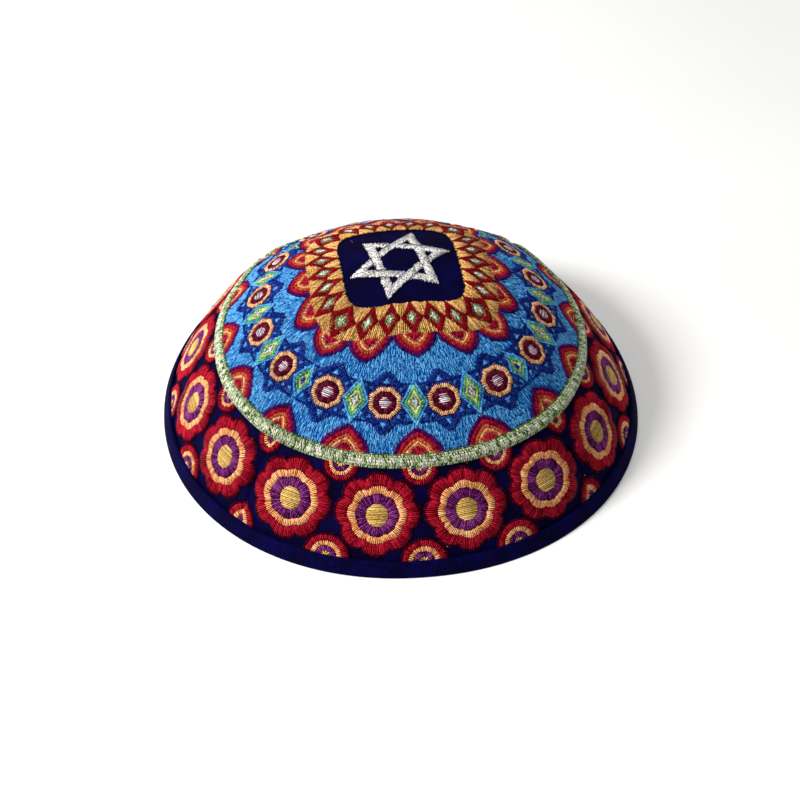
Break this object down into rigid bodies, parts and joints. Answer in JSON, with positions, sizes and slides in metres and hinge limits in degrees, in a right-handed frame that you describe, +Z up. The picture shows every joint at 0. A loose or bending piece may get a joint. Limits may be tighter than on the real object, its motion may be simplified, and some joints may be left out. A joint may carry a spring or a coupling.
{
  "type": "kippah",
  "caption": "Low domed embroidered cloth skullcap with four darts, a bound hem, a braided ring, a square lozenge border and a six-pointed star on the crown.",
  "frame": {"origin": "centre of the hem, on the surface that the cap rests on", "axes": "+Z up through the crown, -Y towards the front of the cap, the darts on the four diagonals"},
  "size_m": [0.1808, 0.1808, 0.0653],
  "materials": {
    "crown_cloth": "matte navy cotton",
    "binding_cloth": "matte navy cotton binding",
    "braid_cord": "green and silver plaited cord",
    "coloured_thread": "glossy satin-stitched thread",
    "silver_thread": "silver metallic thread"
  },
  "bodies": {
    "root": {"crown": "crown_cloth", "hem_binding": "binding_cloth", "braid_ring": "braid_cord", "lozenge_border": "coloured_thread", "star_emblem": "silver_thread"}
  },
  "joints": []
}
